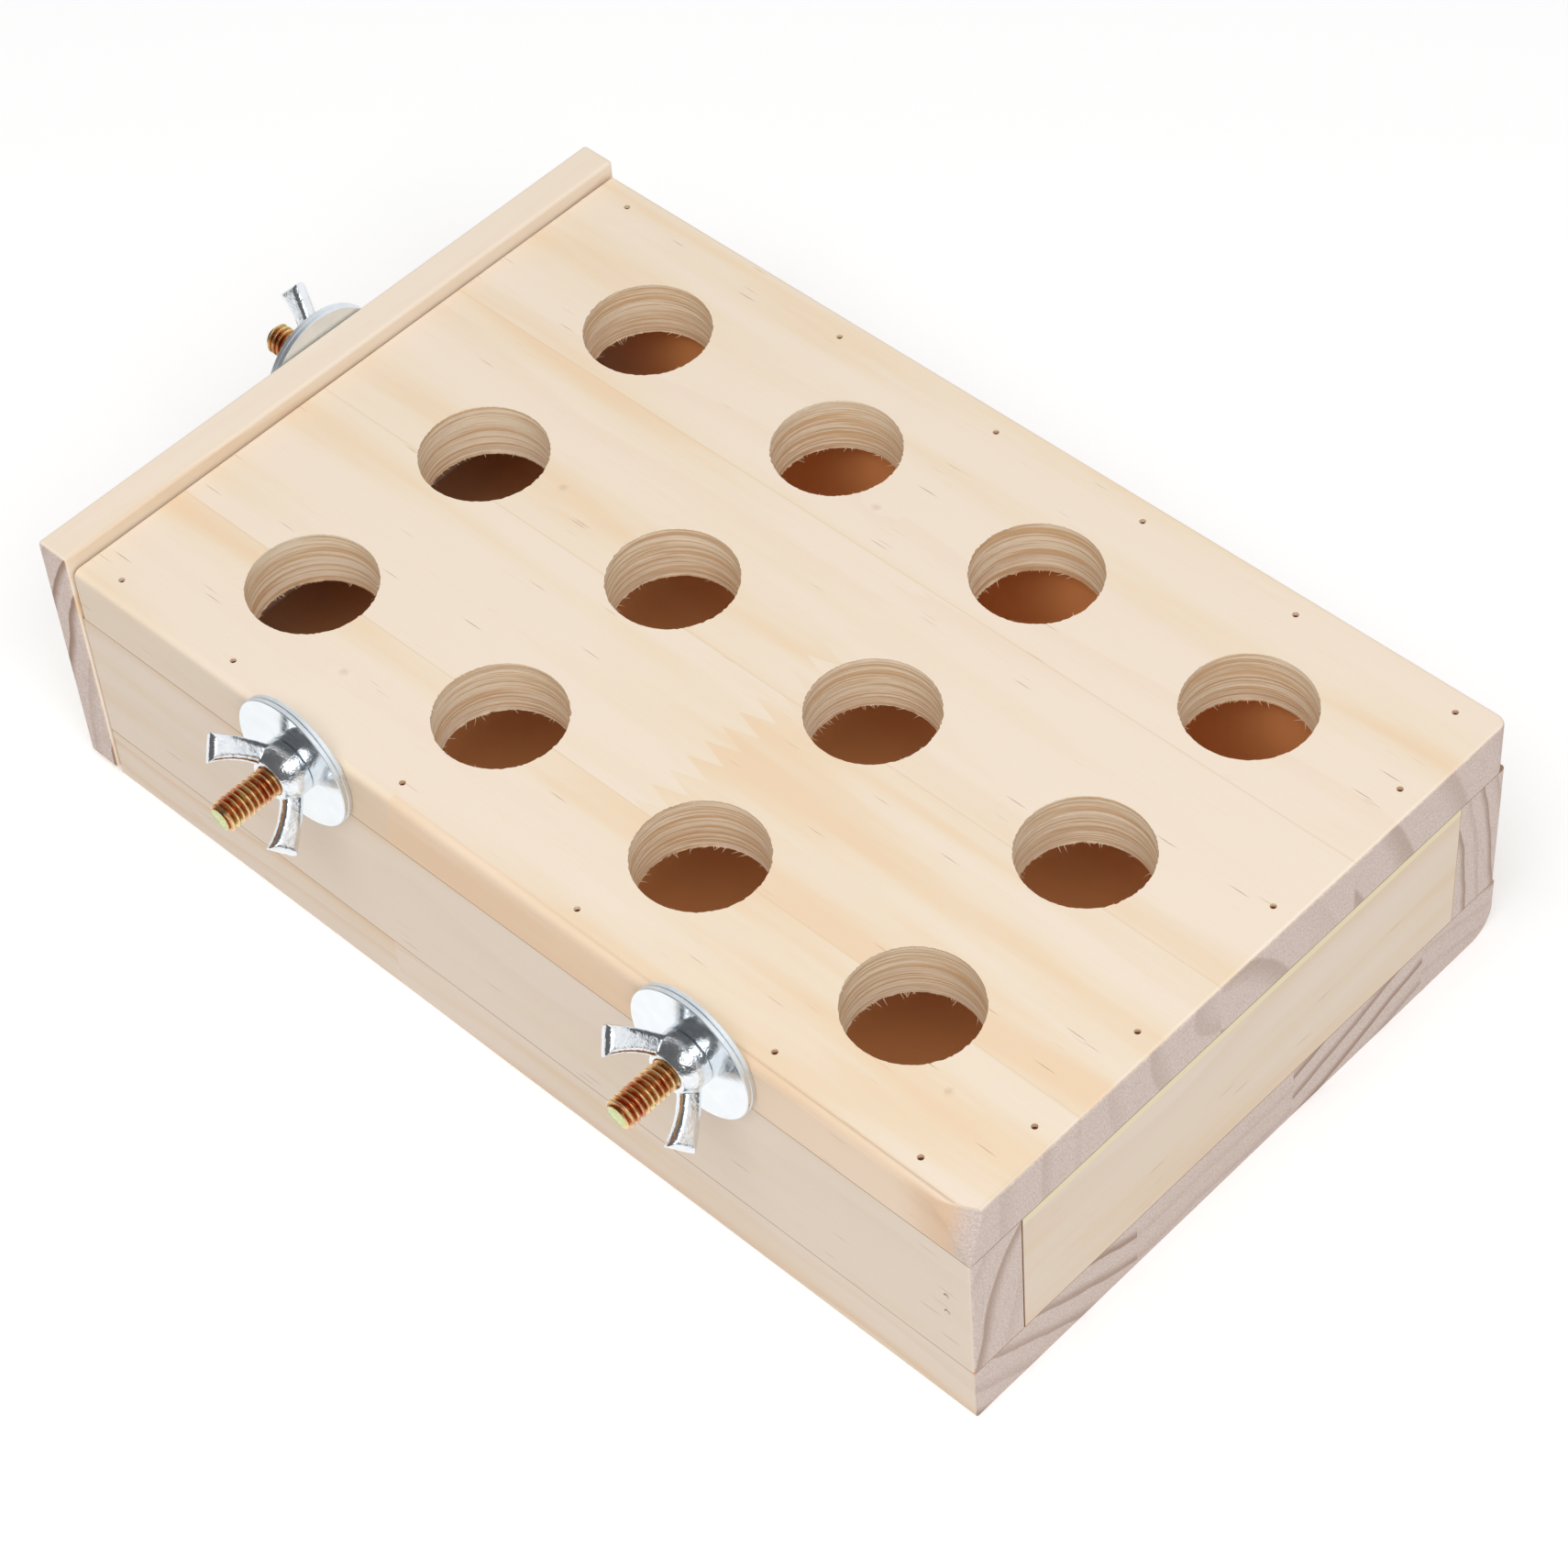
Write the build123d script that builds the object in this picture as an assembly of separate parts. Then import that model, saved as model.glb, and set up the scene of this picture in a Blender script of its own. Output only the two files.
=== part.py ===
from build123d import *
import math
import os

# A wooden tray box with twelve round holes in its top. The left end is open and is
# closed by a cover that turns on one stud. Two more studs stand out of the front edge.
# Millimetres. X runs along the box to its fixed end, Y to its back, Z up.
# The origin is at the middle of the underside.

# ---- Driving dimensions: boards ----
box_length = 230.0
box_width = 147.0
top_thickness = 13.0
bottom_thickness = 13.7
side_thickness = 13.0
end_thickness = 13.0
inside_height = 32.6  # between the top and bottom boards
end_board_gap = 0.25  # daylight beside the fixed end board, at the front
edge_radius = 0.8  # sanded outer edges
front_edge_radius = 1.8  # top front edge
back_corner_radius = 2.6  # back right corner of the top board, seen from above
back_foot_radius = 6.0  # lower back edge of the bottom board
sanded_radius = 25.0  # front right corner of the top board, seen from above
sanded_run = 13.5  # how far along the front edge that corner starts

# ---- Driving dimensions: holes in the top ----
hole_diameter = 26.0
hole_rows = 4  # along X
hole_columns = 3  # along Y
hole_end_margin = 37.9  # from each end of the box to the middle of the nearest holes
hole_side_margin = 28.0  # from each long side to the middle of the nearest holes

# ---- Driving dimensions: end cover ----
cover_thickness = 8.0
cover_width = 148.5
cover_rise = 3.3  # how far the cover stands above the top board
cover_foot_gap = 2.1  # how far it stays off the ground
cover_gap = 0.3  # between the cover and the box
stud_clearance = 0.3  # radial, in the cover and the washers

# ---- Driving dimensions: studs, washers and wing nuts ----
thread_diameter = 6.35
screw_diameter = 5.8  # wood-screw end of a stud
screw_length = 20.0
screw_point = 5.0
screw_tip_radius = 0.3
front_stud_reach = 20.0  # from the front edge to the tip
cover_stud_reach = 15.6  # from the cover's outer face to the tip
stud_chamfer = 0.8
washer_diameter = 28.5
washer_thickness = 1.05
washer_rim_radius = 0.2
nut_clearance = 0.05  # radial, on the stud
hub_diameter = 11.8
hub_top_diameter = 8.4
hub_height = 5.6
hub_foot = 1.2  # straight part of the hub
wing_thickness = 3.4
wing_rounding = 1.3  # radius along the edges of a wing
wing_span = 28.2
wing_height = 13.6
wing_tip_width = 5.8
wing_tilt = 49.5  # how steeply each wing rises, degrees
front_nut_turn = 134.0  # from +X towards +Z, degrees
cover_nut_turn = 66.0  # from +Y towards +Z, degrees

# ---- Driving dimensions: nails ----
nail_diameter = 1.3
nail_length = 22.0
nail_sink = 0.9  # below the wood's surface
nail_inset = 4.9  # from the edge of the box to a row of nails
corner_nail_inset = 5.9  # from the fixed end to the nails in the side boards
corner_nail_height = 29.9  # middle of the pair in each side board
corner_nail_spacing = 4.8
# where the nails of a row sit, as shares of the run between its first and last
front_nail_shares = (0.0, 0.155, 0.38, 0.60, 0.835, 1.0)
back_nail_shares = (0.0, 0.28, 0.475, 0.65, 0.825, 1.0)
end_nail_shares = (0.0, 0.27, 0.64, 1.0)
row_start = 9.2  # open end to the first nail of a row
row_stop = 15.1  # fixed end to the last nail of the front row
back_row_stop = 8.7
end_row_start = 22.3  # front to the first nail over the end board
end_row_stop = 25.8

# ---- Worked out from them ----
half_length = box_length / 2
half_width = box_width / 2
inside_floor = bottom_thickness
inside_top = inside_floor + inside_height
box_height = inside_top + top_thickness
inside_half_width = half_width - side_thickness
row_pitch = (box_length - 2 * hole_end_margin) / (hole_rows - 1)
column_pitch = (box_width - 2 * hole_side_margin) / (hole_columns - 1)
stud_height = box_height - top_thickness / 2
stud_x = row_pitch  # midway between the outer pairs of hole rows
washer_stack = 2 * washer_thickness
thread_radius = thread_diameter / 2
loose_radius = thread_radius + stud_clearance


def board(x_from, x_to, y_from, y_to, z_from, z_to):
    """A plain board between two values on each axis."""
    size = (x_to - x_from, y_to - y_from, z_to - z_from)
    middle = ((x_from + x_to) / 2, (y_from + y_to) / 2, (z_from + z_to) / 2)
    return Pos(*middle) * Box(*size)


def outward(x, y, z, toward, turn=0.0):
    """A place whose own Z points out of the box, turned about that axis."""
    if toward == "front":
        return Location(Plane((x, y, z), x_dir=(1, 0, 0), z_dir=(0, -1, 0))) * Rot(0, 0, turn)
    return Location(Plane((x, y, z), x_dir=(0, 1, 0), z_dir=(-1, 0, 0))) * Rot(0, 0, turn)


# ---- Studs: a machine thread outside, a wood-screw end in the board ----
def stud(reach):
    """A hanger bolt whose own Z runs out of the wood, with Z = 0 at the surface."""
    lift = (Align.CENTER, Align.CENTER, Align.MIN)
    thread = Cylinder(thread_radius, reach, align=lift)
    thread = chamfer(thread.edges().sort_by(Axis.Z)[-1], stud_chamfer)
    shank = Pos(0, 0, screw_point - screw_length) * Cylinder(
        screw_diameter / 2, screw_length - screw_point, align=lift
    )
    point = Pos(0, 0, -screw_length) * Cone(
        screw_tip_radius, screw_diameter / 2, screw_point, align=lift
    )
    return thread + shank + point


left_stud_place = outward(-stud_x, -half_width, stud_height, "front")
right_stud_place = outward(stud_x, -half_width, stud_height, "front")
cover_stud_place = outward(-half_length, 0, stud_height, "end")
cover_stack = cover_gap + cover_thickness
left_stud = left_stud_place * stud(front_stud_reach)
right_stud = right_stud_place * stud(front_stud_reach)
cover_stud = cover_stud_place * stud(cover_stack + cover_stud_reach)


# ---- Washers: two on each stud, under the wing nut ----
def washer(place, start):
    """One washer on the stud at place, start millimetres out from the wood."""
    ring = Cylinder(
        washer_diameter / 2, washer_thickness, align=(Align.CENTER, Align.CENTER, Align.MIN)
    )
    ring = fillet(ring.edges(), washer_rim_radius)
    ring -= Cylinder(loose_radius, 4 * washer_thickness)
    return place * Pos(0, 0, start) * ring


# ---- Wing nuts: a tapered hub with two wings that rise away from the washer ----
def hub():
    """The hub as a turned shape, its foot at Z = 0."""
    base, crown = hub_diameter / 2, hub_top_diameter / 2
    belly = ((base + crown) / 2 + 0.4, (hub_foot + hub_height) / 2 + 0.2)
    outline = [
        Line((0, hub_height), (0, 0)),
        Line((0, 0), (base, 0)),
        Line((base, 0), (base, hub_foot)),
        ThreePointArc((base, hub_foot), belly, (crown, hub_height)),
        Line((crown, hub_height), (0, hub_height)),
    ]
    return revolve(Plane.XZ * make_face(outline), Axis.Z)


def wing():
    """One wing, leaning out along +X from the hub's side to a flat end."""
    base, crown = hub_diameter / 2, hub_top_diameter / 2
    lean = math.radians(wing_tilt)
    end_run, end_drop = wing_tip_width * math.sin(lean), wing_tip_width * math.cos(lean)
    outer = (wing_span / 2, wing_height - end_drop)
    inner = (wing_span / 2 - end_run, wing_height)
    low = (base * 0.85, hub_foot)
    low_bend = (base + 3.2, hub_foot + 3.4)
    high = (crown * 0.85, hub_height - 0.2)
    high_bend = (crown + 2.7, hub_height + 3.0)
    outline = [
        Spline(low, low_bend, outer),
        Line(outer, inner),
        Spline(inner, high_bend, high),
        Line(high, low),
    ]
    blade = extrude(Plane.XZ * make_face(outline), amount=wing_thickness / 2, both=True)
    rim = blade.edges().filter_by(lambda e: abs(e.center().Y) > wing_thickness * 0.49)
    return fillet(rim, wing_rounding)


def wing_nut():
    """A wing nut whose own Z runs along the stud, with its foot at Z = 0."""
    nut = hub() + wing() + Rot(0, 0, 180) * wing()
    return nut - Cylinder(thread_radius + nut_clearance, 4 * wing_height)


# where each set sits: its stud, how far out it starts, and how far round its nut is turned
clamp_sets = {
    "left": (left_stud_place, 0, front_nut_turn),
    "right": (right_stud_place, 0, front_nut_turn),
    "cover": (cover_stud_place, cover_stack, -cover_nut_turn),
}
one_nut = wing_nut()
clamp_pieces = {}
for side, (place, start, turn) in clamp_sets.items():
    nut_place = place * Pos(0, 0, start + washer_stack) * Rot(0, 0, turn)
    clamp_pieces[f"{side}_inner_washer"] = washer(place, start)
    clamp_pieces[f"{side}_outer_washer"] = washer(place, start + washer_thickness)
    clamp_pieces[f"{side}_wing_nut"] = nut_place * one_nut


# ---- Nails: headless pins, driven just below the surface ----
def nail_row(places, toward):
    """Nails driven in from the surface points in places, and the holes that they leave."""
    into = Vector(*toward)
    shank = Cylinder(nail_diameter / 2, nail_length)
    hole = Cylinder(nail_diameter / 2, nail_length + 2 * nail_sink)
    shanks = [
        Plane(Vector(*place) + into * (nail_sink + nail_length / 2), z_dir=into) * shank
        for place in places
    ]
    holes = [
        Plane(Vector(*place) + into * (nail_length / 2), z_dir=into) * hole for place in places
    ]
    return shanks, holes


def along(start, stop, shares):
    """Positions between start and stop, at the given shares of the way."""
    return [start + share * (stop - start) for share in shares]


front_row = along(-half_length + row_start, half_length - row_stop, front_nail_shares)
back_row = along(-half_length + row_start, half_length - back_row_stop, back_nail_shares)
end_row = along(-half_width + end_row_start, half_width - end_row_stop, end_nail_shares)
row_y = half_width - nail_inset
row_x = half_length - nail_inset
corner_x = half_length - corner_nail_inset
corner_heights = [corner_nail_height + s * corner_nail_spacing / 2 for s in (-1, 1)]
down, up = (0, 0, -1), (0, 0, 1)
front_corner = [(corner_x, -half_width, z) for z in corner_heights]
back_corner = [(corner_x, half_width, z) for z in corner_heights]
nails = {
    "top_front_nails": nail_row([(x, -row_y, box_height) for x in front_row], down),
    "top_back_nails": nail_row([(x, row_y, box_height) for x in back_row], down),
    "top_end_nails": nail_row([(row_x, y, box_height) for y in end_row], down),
    "bottom_front_nails": nail_row([(x, -row_y, 0) for x in front_row], up),
    "bottom_back_nails": nail_row([(x, row_y, 0) for x in back_row], up),
    "bottom_end_nails": nail_row([(row_x, y, 0) for y in end_row], up),
    "front_corner_nails": nail_row(front_corner, (0, 1, 0)),
    "back_corner_nails": nail_row(back_corner, (0, -1, 0)),
}


def nailed(wood, *rows):
    """The board with the holes of the named rows of nails in it."""
    for row in rows:
        for hole in nails[row][1]:
            wood -= hole
    return wood


# ---- Top board: twelve holes, stud holes in two edges, one corner sanded round ----
def corner_at(wood, x_side, y_side):
    """The upright edge of a board at one corner, as seen from above."""
    upright = wood.edges().filter_by(Axis.Z)
    return upright.sort_by(lambda e: x_side * e.center().X + y_side * e.center().Y)[-1]


def sanded_corner():
    """The wood sanded away at the front right corner. It fades out at the board's underside,
    where the cone reaches the corner."""
    start = half_length - sanded_run
    spare = 1.0
    block = board(
        start,
        half_length + spare,
        -half_width - spare,
        -half_width + sanded_radius,
        inside_top,
        box_height,
    )
    cone = Pos(start, -half_width + sanded_radius, inside_top + top_thickness / 2) * Cone(
        math.hypot(sanded_run, sanded_radius), sanded_radius, top_thickness
    )
    return block - cone


top_board = board(-half_length, half_length, -half_width, half_width, inside_top, box_height)
top_board = fillet(corner_at(top_board, 1, 1), back_corner_radius)
top_board -= sanded_corner()
long_front = top_board.faces().sort_by(Axis.Z)[-1].edges().filter_by(Axis.X).sort_by(Axis.Y)[0]
top_board = fillet(long_front, front_edge_radius)
top_outline = top_board.faces().sort_by(Axis.Z)[-1].edges()
back_and_ends = [e for e in top_outline if e.center().Y > -half_width + 2 * front_edge_radius]
top_board = fillet(back_and_ends, edge_radius)
hole_xs = [(i - (hole_rows - 1) / 2) * row_pitch for i in range(hole_rows)]
hole_ys = [(j - (hole_columns - 1) / 2) * column_pitch for j in range(hole_columns)]
for x in hole_xs:
    for y in hole_ys:
        top_board -= Pos(x, y, box_height) * Cylinder(hole_diameter / 2, 4 * top_thickness)
for fastener in (left_stud, right_stud, cover_stud):
    top_board -= fastener
top_board = nailed(top_board, "top_front_nails", "top_back_nails", "top_end_nails")

# ---- Bottom board ----
bottom_board = board(-half_length, half_length, -half_width, half_width, 0, bottom_thickness)
underside = bottom_board.faces().sort_by(Axis.Z)[0].edges().filter_by(Axis.X).sort_by(Axis.Y)
bottom_board = fillet(underside[-1], back_foot_radius)
underside = bottom_board.faces().sort_by(Axis.Z)[0].edges().filter_by(Axis.X).sort_by(Axis.Y)
bottom_board = fillet(underside[0], edge_radius)
bottom_board = nailed(bottom_board, "bottom_front_nails", "bottom_back_nails", "bottom_end_nails")


# ---- Side boards: full length, so that their end grain shows at both ends ----
def side_board(y_from, y_to, outer_side):
    """A side board whose outer upright edge at the fixed end is sanded."""
    wood = board(-half_length, half_length, y_from, y_to, inside_floor, inside_top)
    return fillet(corner_at(wood, 1, outer_side), edge_radius)


front_side_board = nailed(
    side_board(-half_width, -inside_half_width, -1),
    "top_front_nails",
    "bottom_front_nails",
    "front_corner_nails",
)
back_side_board = nailed(
    side_board(inside_half_width, half_width, 1),
    "top_back_nails",
    "bottom_back_nails",
    "back_corner_nails",
)

# ---- Fixed end board: set in between the side boards ----
fixed_end_board = nailed(
    board(
        half_length - end_thickness,
        half_length,
        -inside_half_width + end_board_gap,
        inside_half_width,
        inside_floor,
        inside_top,
    ),
    "top_end_nails",
    "bottom_end_nails",
    "front_corner_nails",
    "back_corner_nails",
)

# ---- End cover: as large as the end of the box, held by one stud ----
cover_inner_x = -half_length - cover_gap
end_cover = board(
    cover_inner_x - cover_thickness,
    cover_inner_x,
    -cover_width / 2,
    cover_width / 2,
    cover_foot_gap,
    box_height + cover_rise,
)
end_cover = fillet(end_cover.edges(), edge_radius)
end_cover -= cover_stud_place * Cylinder(loose_radius, 4 * cover_thickness)

# ---- Write one file for each node ----
nodes = {
    "top_board": top_board,
    "bottom_board": bottom_board,
    "front_side_board": front_side_board,
    "back_side_board": back_side_board,
    "fixed_end_board": fixed_end_board,
    "end_cover": end_cover,
    "left_stud": left_stud,
    "right_stud": right_stud,
    "cover_stud": cover_stud,
    **clamp_pieces,
}
for name, (shanks, _) in nails.items():
    nodes[name] = Compound(children=shanks)

os.makedirs("parts", exist_ok=True)
for name, shape in nodes.items():
    export_step(shape, f"parts/{name}.step")
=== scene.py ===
import math

import bmesh
import bpy
from mathutils import Matrix, Vector, noise


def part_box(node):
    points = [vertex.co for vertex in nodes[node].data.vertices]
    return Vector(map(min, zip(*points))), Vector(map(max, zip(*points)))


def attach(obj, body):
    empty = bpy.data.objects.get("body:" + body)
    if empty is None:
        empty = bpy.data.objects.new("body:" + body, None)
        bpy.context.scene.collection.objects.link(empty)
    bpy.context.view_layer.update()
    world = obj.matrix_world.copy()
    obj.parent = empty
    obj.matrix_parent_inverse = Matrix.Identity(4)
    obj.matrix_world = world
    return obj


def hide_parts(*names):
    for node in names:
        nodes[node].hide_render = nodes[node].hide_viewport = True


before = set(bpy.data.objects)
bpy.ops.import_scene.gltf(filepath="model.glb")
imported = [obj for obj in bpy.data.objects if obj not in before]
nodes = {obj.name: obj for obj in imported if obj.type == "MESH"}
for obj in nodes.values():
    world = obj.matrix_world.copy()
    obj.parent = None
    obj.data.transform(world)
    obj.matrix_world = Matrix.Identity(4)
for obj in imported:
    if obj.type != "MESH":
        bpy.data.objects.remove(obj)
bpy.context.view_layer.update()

# ---------------------------------------------------------------------------------------
# Top board. One pine panel, edge-glued from staves that are finger-jointed end to end,
# planed, sanded and drilled through twelve times with a spade bit. The bit leaves fine
# rings on the walls and a slightly torn rim where it goes in and breaks out.
# ---------------------------------------------------------------------------------------
MM = 0.001


def sheet_colour(red, green, blue):
    """A colour as a paint sheet gives it, 0 to 255, turned into the linear one shaders use."""
    linear = []
    for level in (red, green, blue):
        share = level / 255
        linear.append(share / 12.92 if level <= 10 else ((share + 0.055) / 1.055) ** 2.4)
    return (*linear, 1.0)


class Wiring:
    """A node tree with short calls: each one adds a node and gives back one of its outputs."""

    def __init__(self, tree):
        self.tree = tree

    def feed(self, node, inputs):
        """Links or sets inputs of a node, each by its name or number."""
        for key, value in inputs.items():
            if isinstance(value, bpy.types.NodeSocket):
                self.tree.links.new(value, node.inputs[key])
            else:
                node.inputs[key].default_value = value

    def put(self, kind, inputs=None, out=0, **settings):
        node = self.tree.nodes.new(kind)
        for key, value in settings.items():
            setattr(node, key, value)
        self.feed(node, inputs or {})
        return node.outputs[out]

    def maths(self, operation, a, b=0.0, c=0.0):
        return self.put("ShaderNodeMath", {0: a, 1: b, 2: c}, operation=operation)

    def product(self, first, *others):
        for other in others:
            first = self.maths("MULTIPLY", first, other)
        return first

    def gap(self, value, target):
        """How far a value is from a target, either way."""
        return self.maths("ABSOLUTE", self.maths("SUBTRACT", value, target))

    def divided(self, parts, sizes):
        """Each part over its size, so that noise on them is as long and wide as the sizes."""
        return [self.maths("DIVIDE", part, size) for part, size in zip(parts, sizes)]

    def vector(self, x, y, z):
        return self.put("ShaderNodeCombineXYZ", {0: x, 1: y, 2: z})

    def vector_maths(self, operation, a, b=(0.0, 0.0, 0.0), out=0):
        return self.put("ShaderNodeVectorMath", {0: a, 1: b}, out=out, operation=operation)

    def scaled(self, vector, factor):
        parts = {0: vector, "Scale": factor}
        return self.put("ShaderNodeVectorMath", parts, operation="SCALE")

    def split(self, vector):
        """The X, Y and Z of a vector."""
        return self.put("ShaderNodeSeparateXYZ", {0: vector}).node.outputs

    def place(self, scale=1.0):
        """Where a point lies on its piece, in millimetres times the scale."""
        coordinates = self.put("ShaderNodeTexCoord", out="Object")
        return self.scaled(coordinates, scale / MM)

    def facing(self):
        """The X, Y and Z of the way the surface faces."""
        return self.split(self.put("ShaderNodeTexCoord", out="Normal"))

    def noise(self, where, detail=2.0, roughness=0.5):
        settings = {"Vector": where, "Scale": 1.0, "Detail": detail, "Roughness": roughness}
        return self.put("ShaderNodeTexNoise", settings)

    def chance(self, number, out=0):
        return self.put("ShaderNodeTexWhiteNoise", {"W": number}, out=out, noise_dimensions="1D")

    def fade(self, value, start, stop, low=0.0, high=1.0):
        """low below start, high above stop, and a smooth change between them."""
        limits = {0: value, 1: start, 2: stop, 3: low, 4: high}
        return self.put("ShaderNodeMapRange", limits, interpolation_type="SMOOTHSTEP")

    def blend(self, amount, first, second, how="MIX"):
        parts = {0: amount, 6: first, 7: second}
        return self.put("ShaderNodeMix", parts, out=2, data_type="RGBA", blend_type=how)

    def bump(self, height, distance, strength):
        parts = {"Height": height, "Distance": distance, "Strength": strength}
        return self.put("ShaderNodeBump", parts)


def new_finish(name):
    """A material, its wiring and its shader."""
    finish = bpy.data.materials.new(name)
    finish.use_nodes = True
    shader = finish.node_tree.nodes["Principled BSDF"]
    return finish, Wiring(finish.node_tree), shader


def dress(node, finish):
    """Puts a finish on a piece, in place of what it had."""
    node.data.materials.clear()
    node.data.materials.append(finish)


PALE_WOOD = sheet_colour(243, 227, 208)
CREAM_WOOD = sheet_colour(240, 221, 192)
TAN_WOOD = sheet_colour(241, 208, 174)
LATE_WOOD = sheet_colour(228, 190, 152)
PORE = sheet_colour(164, 108, 76)
END_PALE = sheet_colour(234, 218, 207)
END_DARK = sheet_colour(166, 134, 114)
GLUE = sheet_colour(226, 196, 160)
SEAM_SHADE = sheet_colour(130, 92, 60)
# partly painted light: the pale rings of the hole walls
BORE_LIT_PALE = sheet_colour(255, 241, 216)
BORE_DARK = sheet_colour(228, 192, 148)
# painted highlight: the colour of the band along the end board's top edge
BEVEL_HIGHLIGHT = sheet_colour(226, 214, 176)
# painted shade: the deeper colour of faces inside the box
INNER_SHADE = sheet_colour(246, 174, 112)
# painted shade: the factor that upright faces are multiplied by
UPRIGHT_SHADE_TINT = sheet_colour(231, 230, 232)


def lay_staves(w, a, c, staves, joints, seed):
    """A number of its own for each length of each stave, and where the glue lines are."""
    glue_half_width = 0.12
    finger_pitch, finger_length = 4.6, 7.5
    other_length = 37.0  # what tells the two lengths of a stave apart
    stave, joint, glue = seed, joints[0], 0.0
    for i, line in enumerate(staves):
        beyond = w.maths("GREATER_THAN", c, line)
        stave = w.maths("ADD", stave, beyond)
        step = joints[min(i + 1, len(joints) - 1)] - joints[min(i, len(joints) - 1)]
        joint = w.maths("MULTIPLY_ADD", beyond, step, joint)
        on_line = w.fade(w.gap(c, line), glue_half_width, 2 * glue_half_width, 1.0, 0.0)
        glue = w.maths("ADD", glue, on_line)
    finger = w.maths("PINGPONG", c, finger_pitch / 2)
    reach = w.maths("MULTIPLY_ADD", finger, 2 * finger_length / finger_pitch, a)
    past_joint = w.maths("GREATER_THAN", reach, w.maths("ADD", joint, finger_length))
    return w.maths("MULTIPLY_ADD", past_joint, other_length, stave), glue


def growth_rings(w, axes, length, luck, knots, heart_depth, heart_spread, ring_gap):
    """Late wood, from 0 to 1: dark rings round a heart that each length has at its own place,
    swelling round a knot."""
    a, c, d = axes
    drift_reach, waver_reach, quick_share = 34.0, 9.0, 0.14
    drift = w.noise(w.vector(*w.divided((a, c), (150.0, 60.0)), length), detail=1.0)
    slow = w.noise(w.vector(*w.divided(axes, (80.0, 46.0, 46.0))), detail=1.0)
    quick = w.noise(w.vector(*w.divided(axes, (30.0, 9.0, 9.0))))
    waver = w.maths("MULTIPLY_ADD", quick, quick_share, slow)

    from_middle = w.maths("SUBTRACT", c, heart_spread / 2)
    heart_across = w.maths("MULTIPLY_ADD", luck[0], heart_spread, from_middle)
    across = w.maths("MULTIPLY_ADD", w.maths("SUBTRACT", drift, 0.5), drift_reach, heart_across)
    heart_side = w.maths("SIGN", w.maths("SUBTRACT", luck[2], 0.4))
    heart_below = w.maths("MULTIPLY_ADD", luck[1], heart_depth, heart_depth * 0.6)
    deep = w.maths("MULTIPLY_ADD", heart_side, heart_below, d)
    square = w.maths("ADD", w.maths("POWER", across, 2.0), w.maths("POWER", deep, 2.0))
    radius = w.maths("MULTIPLY_ADD", waver, waver_reach, w.maths("SQRT", square))

    drawn_out = 0.45  # a knot's rings are this much shorter across than along
    for knot_along, knot_across, knot_size in knots:
        point = w.vector(w.maths("MULTIPLY", a, drawn_out), c, 0.0)
        knot = (knot_along * drawn_out, knot_across, 0.0)
        away = w.vector_maths("DISTANCE", point, knot, out=1)
        radius = w.maths("ADD", radius, w.fade(away, 0.0, knot_size, knot_size * 0.9, 0.0))

    ring = w.maths("DIVIDE", radius, ring_gap)
    growth = w.maths("FRACT", ring)
    ring_luck = w.chance(w.maths("MULTIPLY_ADD", length, 13.0, w.maths("FLOOR", ring)))
    darkening = w.fade(growth, 0.5, 0.92)
    winter = w.fade(growth, 0.92, 1.0, 1.0, 0.0)
    return w.product(darkening, winter, w.fade(ring_luck, 0.1, 1.0, 0.15, 1.0))


def resin_dashes(w, axes, length):
    """Short dark resin canals, drawn out along the grain and gathered in patches."""
    where = w.vector(*w.divided(axes, (22.0, 1 / 1.5, 1 / 1.5)))
    cell = w.put("ShaderNodeTexVoronoi", {"Vector": where, "Scale": 1.0}).node.outputs
    cell_luck = w.put("ShaderNodeSeparateColor", {0: cell["Color"]})
    patch = w.noise(w.vector(*w.divided(axes[:2], (45.0, 14.0)), length))
    core = w.fade(cell["Distance"], 0.05, 0.15, 1.0, 0.0)
    return w.product(core, w.fade(cell_luck, 0.60, 0.68), w.fade(patch, 0.47, 0.57))


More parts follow.
